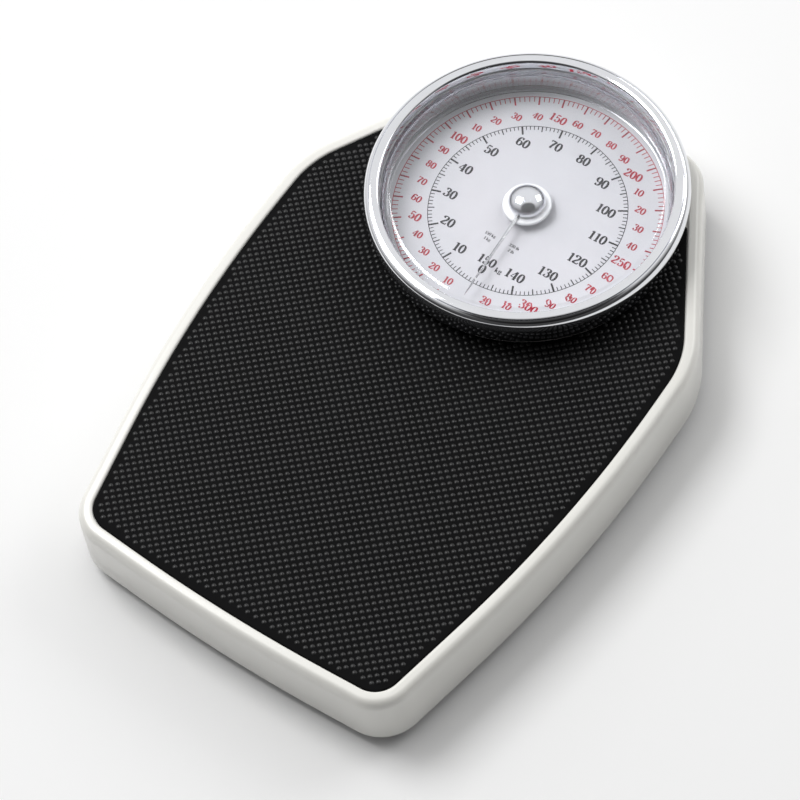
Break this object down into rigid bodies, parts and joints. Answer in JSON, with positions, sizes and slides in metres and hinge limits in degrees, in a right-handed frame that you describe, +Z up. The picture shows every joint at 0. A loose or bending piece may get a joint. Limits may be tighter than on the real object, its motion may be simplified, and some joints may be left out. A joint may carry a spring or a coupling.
{
  "type": "mechanical dial platform scale",
  "caption": "Low platform scale with a tapered off-white cover, black dotted rubber mat, and a round chrome-ringed dial head whose pointer turns as the platform sinks.",
  "frame": {"origin": "on the floor under the middle of the overall box", "axes": "+Z up, +Y towards the dial head, -Y the front edge where a person steps on, +X to that person's right"},
  "size_m": [0.3168, 0.4576, 0.0876],
  "materials": {
    "cover_enamel": "warm off-white stoved enamel, satin gloss",
    "mat_rubber": "black rubber with fine raised dots",
    "bezel_chrome": "polished chrome plate",
    "hub_chrome": "polished chrome plate",
    "dial_face": "silvery white lacquer with printed scales",
    "clear_lens": "clear moulded cup, polished",
    "pointer_steel": "plain bright steel strip",
    "white_plastic": "pale glossy plastic",
    "black_plastic": "ribbed matte black",
    "black_rubber": "plain black rubber",
    "steel": "zinc-plated sheet steel",
    "dark_steel": "grey painted pressed steel",
    "brass": "machined brass"
  },
  "bodies": {
    "base": {"base_plate": "dark_steel", "head_bridge": "steel", "spindle_bush": "brass", "spindle_yoke": "steel", "rack_guide": "steel", "crank_bracket": "steel", "crank_pin": "steel", "spring_anchor": "steel", "knob_bracket": "steel", "dial_housing": "steel", "dial_plate": "dial_face", "lens_seal": "black_rubber", "lens": "clear_lens", "bezel": "bezel_chrome", "foot_front_left": "black_rubber", "foot_screw_front_left": "steel", "bridge_screw_front_left": "steel", "fulcrum_post_front_left": "steel", "foot_front_right": "black_rubber", "foot_screw_front_right": "steel", "bridge_screw_front_right": "steel", "fulcrum_post_front_right": "steel", "foot_rear_left": "black_rubber", "foot_screw_rear_left": "steel", "bridge_screw_rear_left": "steel", "fulcrum_post_rear_left": "steel", "foot_rear_right": "black_rubber", "foot_screw_rear_right": "steel", "bridge_screw_rear_right": "steel", "fulcrum_post_rear_right": "steel"},
    "platform": {"platform_cover": "cover_enamel", "rubber_mat": "mat_rubber", "deck_stiffener": "steel", "knife_bracket_front_left": "steel", "knife_bracket_front_right": "steel", "knife_bracket_rear_left": "steel", "knife_bracket_rear_right": "steel"},
    "long_lever_left": {"long_lever_left": "dark_steel"},
    "short_lever_left": {"short_lever_left": "dark_steel"},
    "long_lever_right": {"long_lever_right": "dark_steel"},
    "short_lever_right": {"short_lever_right": "dark_steel"},
    "nose": {"nose_plate": "steel", "main_spring": "steel"},
    "crank": {"bell_crank": "steel"},
    "rack": {"rack": "brass"},
    "pointer_spindle": {"pinion": "brass", "spindle": "steel", "pointer_collar": "white_plastic", "pointer": "pointer_steel", "hub_dome": "hub_chrome"},
    "knob": {"zero_knob": "black_plastic", "zero_screw": "steel"}
  },
  "joints": [
    {"name": "platform_slide", "type": "slide", "parent": "base", "child": "platform", "axis": [0, 0, -1], "range_m": [0, 0.003], "stiffness_N_per_m": 490500, "springref_m": -0.0005},
    {"name": "long_lever_left_tilt", "type": "hinge", "parent": "base", "child": "long_lever_left", "pos_m": [-0.10422, -0.1838, 0.028], "axis": [-1, 0, 0], "range_deg": [0, 2.9]},
    {"name": "short_lever_left_tilt", "type": "hinge", "parent": "base", "child": "short_lever_left", "pos_m": [-0.07809, 0.1652, 0.028], "axis": [1, 0, 0], "range_deg": [0, 4.2]},
    {"name": "long_lever_right_tilt", "type": "hinge", "parent": "base", "child": "long_lever_right", "pos_m": [0.10422, -0.1838, 0.028], "axis": [-1, 0, 0], "range_deg": [0, 2.9]},
    {"name": "short_lever_right_tilt", "type": "hinge", "parent": "base", "child": "short_lever_right", "pos_m": [0.07809, 0.1652, 0.028], "axis": [1, 0, 0], "range_deg": [0, 4.2]},
    {"name": "nose_slide", "type": "slide", "parent": "base", "child": "nose", "axis": [0, 0, -1], "range_m": [0, 0.0141], "deforming": ["main_spring"]},
    {"name": "crank_tilt", "type": "hinge", "parent": "base", "child": "crank", "pos_m": [0.0192, 0.11647, 0.0192], "axis": [1, 0, 0], "range_deg": [0, 38.2]},
    {"name": "rack_slide", "type": "slide", "parent": "base", "child": "rack", "axis": [0, -1, 0], "range_m": [0, 0.0165]},
    {"name": "pointer_turn", "type": "hinge", "parent": "base", "child": "pointer_spindle", "pos_m": [0, 0.1222, 0.056], "axis": [0, 0, -1], "range_deg": [0, 360]},
    {"name": "knob_turn", "type": "hinge", "parent": "base", "child": "knob", "pos_m": [0, 0.2152, 0.024], "axis": [0, 1, 0], "range_deg": [-180, 180]}
  ],
  "couplings": [
    {"joint": "long_lever_left_tilt", "follows": "platform_slide", "rad_per_m": 16.667},
    {"joint": "short_lever_left_tilt", "follows": "platform_slide", "rad_per_m": 24.009},
    {"joint": "long_lever_right_tilt", "follows": "platform_slide", "rad_per_m": 16.667},
    {"joint": "short_lever_right_tilt", "follows": "platform_slide", "rad_per_m": 24.009},
    {"joint": "nose_slide", "follows": "platform_slide", "ratio": 4.6667},
    {"joint": "crank_tilt", "follows": "platform_slide", "rad_per_m": 221.69},
    {"joint": "rack_slide", "follows": "platform_slide", "ratio": 5.4978},
    {"joint": "pointer_turn", "follows": "platform_slide", "rad_per_m": 2094.4}
  ]
}
